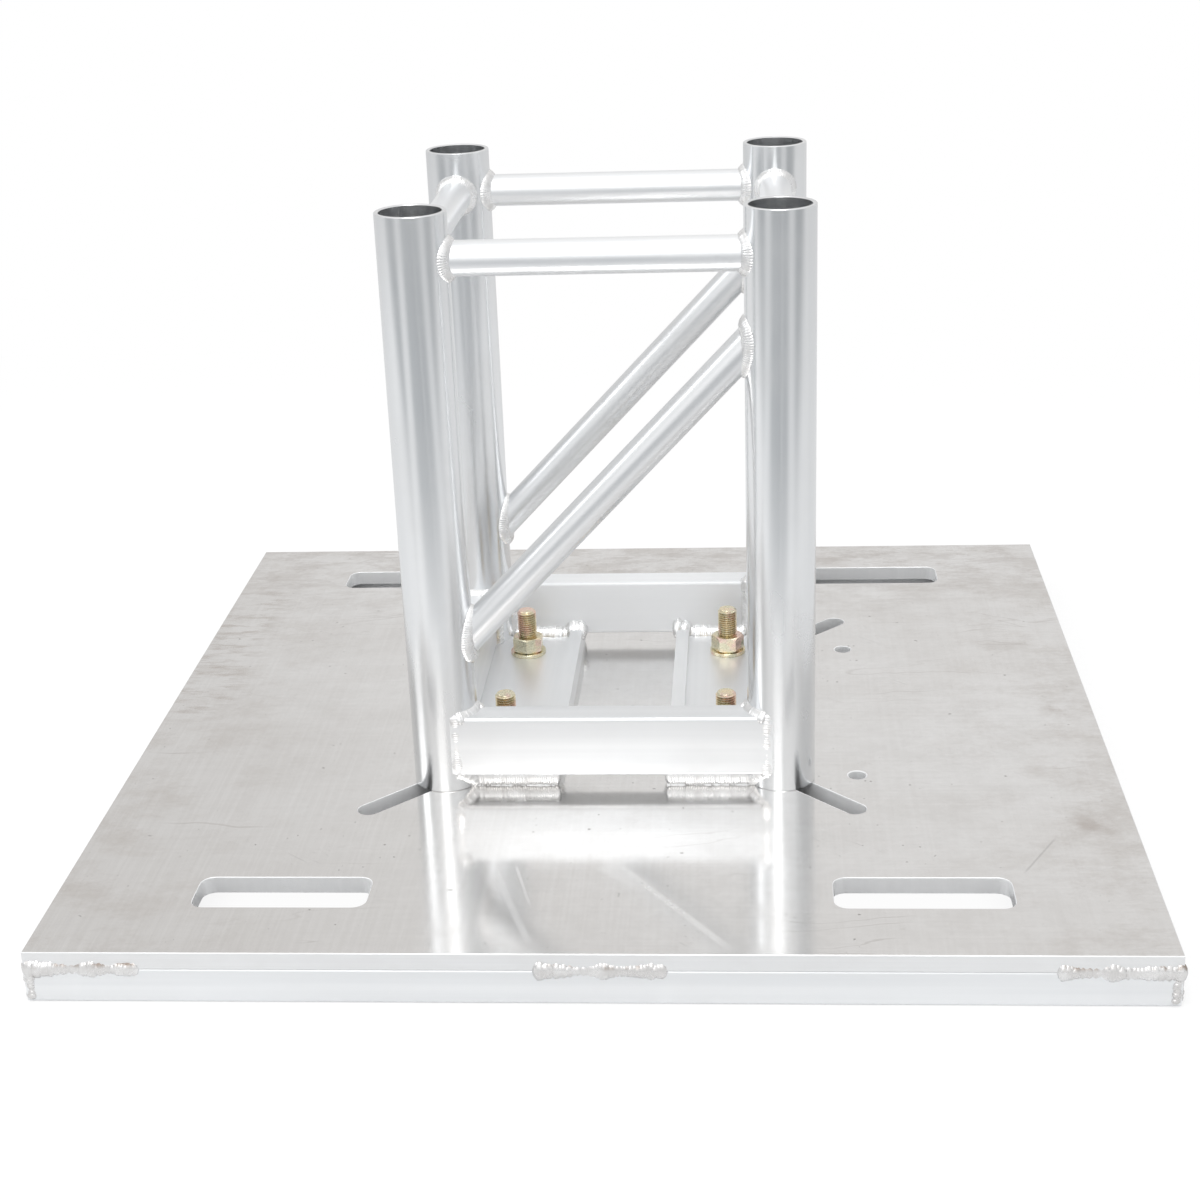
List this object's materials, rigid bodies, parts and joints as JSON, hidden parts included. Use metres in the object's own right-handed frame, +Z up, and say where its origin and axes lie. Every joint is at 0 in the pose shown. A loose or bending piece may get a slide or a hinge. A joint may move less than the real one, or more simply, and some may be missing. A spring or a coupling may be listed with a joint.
{
  "type": "truss base plate",
  "caption": "Square aluminium base plate on a mitred tube frame, with the lowest bay of a square box truss bolted to its middle, hand slots and diagonal bolt slots.",
  "frame": {"origin": "on the floor below the middle of the base plate", "axes": "+Z up along the truss chords, +X to the side with the two round holes, +Y to the rear"},
  "size_m": [0.767, 0.767, 0.4761],
  "materials": {
    "plate": "mill finish, worn",
    "truss": "drawn, satin",
    "weld": "rippled weld bead",
    "zinc": "yellow zinc plated steel"
  },
  "bodies": {
    "root": {"base_plate": "plate", "under_rail_front": "plate", "under_rail_right": "plate", "under_rail_rear": "plate", "under_rail_left": "plate", "under_rail_welds": "weld", "chord_front_left": "truss", "chord_front_right": "truss", "chord_rear_right": "truss", "chord_rear_left": "truss", "base_rail_front": "truss", "base_rail_right": "truss", "base_rail_rear": "truss", "base_rail_left": "truss", "foot_left": "truss", "foot_right": "truss", "cross_brace_front": "truss", "cross_brace_right": "truss", "cross_brace_rear": "truss", "cross_brace_left": "truss", "diagonal_brace_front": "truss", "diagonal_brace_rear": "truss", "base_rail_welds": "weld", "foot_welds": "weld", "cross_brace_welds": "weld", "diagonal_brace_welds": "weld", "bolts": "zinc", "washers": "zinc", "nuts": "zinc"}
  },
  "joints": []
}
